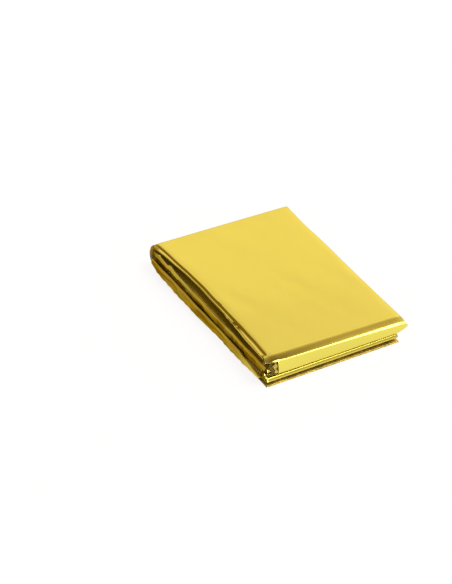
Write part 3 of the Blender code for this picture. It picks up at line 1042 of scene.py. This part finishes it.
def gold_film_material(film):
    material = bpy.data.materials.new("gold_film")
    material.use_nodes = True
    tree = material.node_tree
    shader = tree.nodes["Principled BSDF"]
    coordinates = new_node(tree, "ShaderNodeTexCoord")
    # The point attributes of painted light and shade, which the colour group reads.
    shades = {name: new_node(tree, "ShaderNodeAttribute", attribute_name=name) for name in SHADES}
    inside = shades["inside"]
    colour = new_node(tree, "ShaderNodeGroup", node_tree=film_colour_group())
    surface = new_node(tree, "ShaderNodeGroup", node_tree=film_surface_group())
    for name, setting in FILM_COLOURS.items():
        colour.inputs[name].default_value = (*getattr(film, setting), 1.0)
    surface.inputs["Smooth Roughness"].default_value = film.roughness
    surface.inputs["Worn Roughness"].default_value = film.roughness + MORE_WORN
    clamped = {"operation": "MULTIPLY_ADD", "use_clamp": True}
    clean = new_node(tree, "ShaderNodeMath", {1: -film.coat, 2: film.coat}, **clamped)
    coat = new_node(tree, "ShaderNodeMath", {1: -film.coat}, **clamped)
    shader.inputs["Coat Roughness"].default_value = film.roughness
    shader.inputs["Specular Tint"].default_value = (*film.edge_gold, 1.0)
    metal = new_node(tree, "ShaderNodeMapRange", {"To Min": 1.0, "To Max": film.pleat_shine})
    bump = new_node(tree, "ShaderNodeBump", {"Strength": 0.08, "Distance": 0.0004})
    join(coordinates, "Object", colour, "Vector")
    join(coordinates, "Object", surface, "Vector")
    for name, shade in shades.items():
        join(shade, "Fac", colour, name.capitalize())
    join(inside, "Fac", metal, "Value")
    join(inside, "Fac", clean, 0)
    join(shades["skirt"], "Fac", coat, 0)
    join(clean, 0, coat, 2)
    join(coat, 0, shader, "Coat Weight")
    join(metal, "Result", shader, "Metallic")
    join(colour, "Color", shader, "Base Color")
    join(surface, "Roughness", shader, "Roughness")
    join(surface, "Height", bump, "Height")
    join(bump, "Normal", shader, "Normal")
    return material


def floor_material(stage):
    material = bpy.data.materials.new("pale_floor")
    material.use_nodes = True
    shader = material.node_tree.nodes["Principled BSDF"]
    shader.inputs["Base Color"].default_value = (*stage.floor_colour, 1.0)
    shader.inputs["Roughness"].default_value = 0.75
    shader.inputs["Emission Color"].default_value = WHITE
    shader.inputs["Emission Strength"].default_value = stage.floor_glow
    return material


# The soft studio light, as glowing panels of the sky: the direction of each one's middle, how far from it
# the panel is full, how far from it the panel has faded out, in degrees, and its brightness.
Panel = namedtuple("Panel", "name direction full faded brightness")
PANELS = (
    Panel("behind_right", (0.47, 0.78, 0.40), 3.0, 27.0, 0.71),
    Panel("overhead", (0.40, -0.34, 0.85), 6.0, 17.0, 8.0),
    Panel("front", (0.30, -0.90, 0.32), 30.0, 58.0, 0.75),
    Panel("right", (0.95, 0.10, 0.30), 25.0, 50.0, 0.60),
    Panel("left_front", (-0.80, -0.50, 0.30), 18.0, 50.0, 0.30),
)


def panel_group():
    """Shader group: how bright one soft panel is in a direction."""
    tree = bpy.data.node_groups.new("soft_panel", "ShaderNodeTree")
    new_socket(tree, "Looking", "Vector")
    new_socket(tree, "Direction", "Vector")
    new_socket(tree, "Full", "Float", 0.9)
    new_socket(tree, "Faded", "Float", 0.7)
    new_socket(tree, "Brightness", "Float", 1.0)
    new_socket(tree, "Glow", "Float", out=True)
    given, result = new_node(tree, "NodeGroupInput"), new_node(tree, "NodeGroupOutput")
    dot = new_node(tree, "ShaderNodeVectorMath", operation="DOT_PRODUCT")
    soft = new_node(tree, "ShaderNodeMapRange", interpolation_type="SMOOTHSTEP")
    join(given, "Looking", dot, 0)
    join(given, "Direction", dot, 1)
    join(dot, "Value", soft, "Value")
    join(given, "Faded", soft, "From Min")
    join(given, "Full", soft, "From Max")
    join(given, "Brightness", soft, "To Max")
    join(soft, "Result", result, "Glow")
    return tree


def studio_world(stage):
    """A world of dim, even light and a few soft panels."""
    world = bpy.data.worlds.new("studio")
    world.use_nodes = True
    tree = world.node_tree
    looking = new_node(tree, "ShaderNodeTexCoord")
    group = panel_group()
    total = None
    dimmest = Vector(stage.dim_colour) * stage.dimmest
    for row in PANELS:
        panel = new_node(tree, "ShaderNodeGroup", node_tree=group)
        panel.inputs["Direction"].default_value = Vector(row.direction).normalized()
        panel.inputs["Full"].default_value = math.cos(math.radians(row.full))
        panel.inputs["Faded"].default_value = math.cos(math.radians(row.faded))
        panel.inputs["Brightness"].default_value = row.brightness
        join(looking, "Generated", panel, "Looking")
        added = new_node(tree, "ShaderNodeVectorMath", {0: dimmest})
        if total:
            join(total, 0, added, 0)
        join(panel, "Glow", added, 1)
        total = added
    join(total, 0, tree.nodes["Background"], "Color")
    bpy.context.scene.world = world


def floor_plane(stage):
    mesh = bpy.data.meshes.new("floor")
    half = stage.floor_size / 2
    corners = [(-half, -half, 0.0), (half, -half, 0.0), (half, half, 0.0), (-half, half, 0.0)]
    mesh.from_pydata(corners, [], [(0, 1, 2, 3)])
    mesh.materials.append(floor_material(stage))
    floor = bpy.data.objects.new("floor", mesh)
    bpy.context.scene.collection.objects.link(floor)


def studio_camera(stage):
    """A camera at a set azimuth and elevation round the origin, aimed beside it, so that the packet lies
    off the middle of the frame."""
    data = bpy.data.cameras.new("camera")
    data.lens = stage.lens
    data.sensor_width = 36.0
    camera = bpy.data.objects.new("camera", data)
    bpy.context.scene.collection.objects.link(camera)
    azimuth, elevation = stage.azimuth, stage.elevation
    back = Vector(
        (
            math.sin(azimuth) * math.cos(elevation),
            -math.cos(azimuth) * math.cos(elevation),
            math.sin(elevation),
        )
    )
    right = Vector((math.cos(azimuth), math.sin(azimuth), 0.0))
    up = back.cross(right)
    place = back * stage.distance
    aim = right * stage.aim_right + up * stage.aim_up
    out = (place - aim).normalized()
    across = up.cross(out).normalized()
    turn = Matrix((across, out.cross(across), out)).transposed().to_4x4()
    camera.matrix_world = Matrix.Translation(place) @ turn
    bpy.context.scene.camera = camera


class FilmSettings(bpy.types.PropertyGroup):
    sheet_width: bpy.props.FloatProperty(
        name="Sheet width", description="Width of the sheet before it is folded", default=1.6, unit="LENGTH"
    )
    sheet_length: bpy.props.FloatProperty(
        name="Sheet length", description="Length of the sheet before it is folded", default=2.1, unit="LENGTH"
    )
    pleats: bpy.props.IntProperty(
        name="Pleats", description="Plies across the doubled sheet", default=20, min=4, max=20
    )
    seed: bpy.props.IntProperty(
        name="Seed", description="Which of the uneven foldings is made", default=3, min=0, max=99
    )
    crinkle: bpy.props.FloatProperty(
        name="Hem crinkle", description="How far the hanging film swings out", default=0.00035, unit="LENGTH"
    )
    wrinkle: bpy.props.FloatProperty(
        name="Wrinkle height",
        description="Height of the soft wrinkles on top",
        default=0.00012,
        unit="LENGTH",
    )
    wrinkle_size: bpy.props.FloatProperty(
        name="Wrinkle size", description="Distance between soft wrinkles", default=0.035, unit="LENGTH"
    )
    # The film's own gold, where no painted light or shade lies on it.
    gold: bpy.props.FloatVectorProperty(
        name="Gold", description="Film where it lies clean", default=(0.82, 0.71, 0.095), subtype="COLOR"
    )
    # Painted shade, with a painted reflected tint, at the packed pleats' edges; the painted facet highlights
    # take it too.
    pleat_shade_gold: bpy.props.FloatVectorProperty(
        name="Pleat gold",
        description="Film at the pleats' edges",
        default=(0.70, 0.50, 0.095),
        subtype="COLOR",
    )
    # Painted shade between the packed pleats.
    deep_shade_gold: bpy.props.FloatVectorProperty(
        name="Deep gold", description="Film between the pleats", default=(0.40, 0.32, 0.06), subtype="COLOR"
    )
    # Painted shade and dark reflection on the film that hangs at the left side.
    side_shade_brown: bpy.props.FloatVectorProperty(
        name="Brown gold",
        description="Film that hangs at the left side",
        default=(0.15, 0.078, 0.012),
        subtype="COLOR",
    )
    # Painted reflections: the paler streaks in that painted shade.
    side_sheen_amber: bpy.props.FloatVectorProperty(
        name="Amber gold",
        description="Paler streaks of the hanging film",
        default=(0.34, 0.18, 0.036),
        subtype="COLOR",
    )
    # Painted shade in the hollow under the top.
    hollow_shade_olive: bpy.props.FloatVectorProperty(
        name="Olive gold",
        description="Film under the top, in the dark",
        default=(0.42, 0.34, 0.01),
        subtype="COLOR",
    )
    # Painted shade towards which the film is darkened, between folds and where the top and the wrap turn away
    # from the light.
    shade_gold: bpy.props.FloatVectorProperty(
        name="Shade gold", description="Film deep between folds", default=(0.02, 0.013, 0.0), subtype="COLOR"
    )
    edge_gold: bpy.props.FloatVectorProperty(
        name="Edge gold",
        description="Tint of the film seen at a low angle",
        default=(0.85, 0.72, 0.25),
        subtype="COLOR",
    )
    coat: bpy.props.FloatProperty(
        name="Coat",
        description="Weight of the film's clear face over its metal",
        default=0.6,
        min=0.0,
        max=1.0,
    )
    pleat_shine: bpy.props.FloatProperty(
        name="Pleat shine",
        description="How metallic the packed edges of the pleats look",
        default=0.5,
        min=0.0,
        max=1.0,
    )
    roughness: bpy.props.FloatProperty(
        name="Roughness", description="Roughness of the clean film", default=0.13, min=0.0, max=1.0
    )


class StageSettings(bpy.types.PropertyGroup):
    floor_size: bpy.props.FloatProperty(
        name="Floor size", description="Side of the square floor", default=8.0, unit="LENGTH"
    )
    floor_colour: bpy.props.FloatVectorProperty(
        name="Floor colour", description="Colour of the floor", default=(0.15, 0.15, 0.15), subtype="COLOR"
    )
    floor_glow: bpy.props.FloatProperty(
        name="Floor glow", description="Light that the floor adds of its own", default=0.86, min=0.0
    )
    dimmest: bpy.props.FloatProperty(
        name="Dimmest light", description="Brightness of the studio between its panels", default=0.38, min=0.0
    )
    dim_colour: bpy.props.FloatVectorProperty(
        name="Dim colour",
        description="Colour of the studio between its panels",
        default=(1.0, 0.67, 0.48),
        subtype="COLOR",
    )
    azimuth: bpy.props.FloatProperty(
        name="Azimuth",
        description="Camera's turn round the packet",
        default=math.radians(-29.498),
        unit="ROTATION",
    )
    elevation: bpy.props.FloatProperty(
        name="Elevation", description="Camera's height angle", default=math.radians(34.507), unit="ROTATION"
    )
    distance: bpy.props.FloatProperty(
        name="Distance", description="Camera's distance from the packet", default=1.7327, unit="LENGTH"
    )
    aim_right: bpy.props.FloatProperty(
        name="Aim right", description="How far to the right the camera aims", default=-0.02704, unit="LENGTH"
    )
    aim_up: bpy.props.FloatProperty(
        name="Aim up",
        description="How far above the packet's foot the camera aims",
        default=0.00509,
        unit="LENGTH",
    )
    lens: bpy.props.FloatProperty(
        name="Lens", description="Focal length in millimetres", default=200.0, min=1.0
    )


class BLANKET_OT_fold(bpy.types.Operator):
    """Fold the sheet of film into its packet"""

    bl_idname = "blanket.fold"
    bl_label = "Fold the blanket"

    def execute(self, context):
        film = context.scene.blanket_film
        material = gold_film_material(film)
        piece = bpy.data.objects.new(PIECE, sheet_mesh(film))
        context.scene.collection.objects.link(piece)
        with_wrinkles(piece, film, material)
        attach(piece, "root")
        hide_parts(NODE)
        return {"FINISHED"}


class BLANKET_OT_stage(bpy.types.Operator):
    """Lay the floor, light the studio and place the camera"""

    bl_idname = "blanket.stage"
    bl_label = "Set the stage"

    def execute(self, context):
        stage = context.scene.blanket_stage
        floor_plane(stage)
        studio_world(stage)
        studio_camera(stage)
        context.scene.view_settings.view_transform = "Standard"
        return {"FINISHED"}


class BLANKET_PT_panel(bpy.types.Panel):
    """The blanket's settings and steps"""

    bl_label = "Foil blanket"
    bl_idname = "BLANKET_PT_panel"
    bl_space_type = "VIEW_3D"
    bl_region_type = "UI"
    bl_category = "Foil blanket"

    def draw(self, context):
        for settings, operator in (
            (context.scene.blanket_film, BLANKET_OT_fold),
            (context.scene.blanket_stage, BLANKET_OT_stage),
        ):
            box = self.layout.box()
            for name in settings.__annotations__:
                box.prop(settings, name)
            box.operator(operator.bl_idname)


CLASSES = (FilmSettings, StageSettings, BLANKET_OT_fold, BLANKET_OT_stage, BLANKET_PT_panel)


def register():
    for cls in CLASSES:
        bpy.utils.register_class(cls)
    bpy.types.Scene.blanket_film = bpy.props.PointerProperty(type=FilmSettings)
    bpy.types.Scene.blanket_stage = bpy.props.PointerProperty(type=StageSettings)


def unregister():
    del bpy.types.Scene.blanket_stage
    del bpy.types.Scene.blanket_film
    for cls in reversed(CLASSES):
        bpy.utils.unregister_class(cls)


def main():
    register()
    bpy.ops.blanket.fold()
    bpy.ops.blanket.stage()


if __name__ == "__main__":
    main()
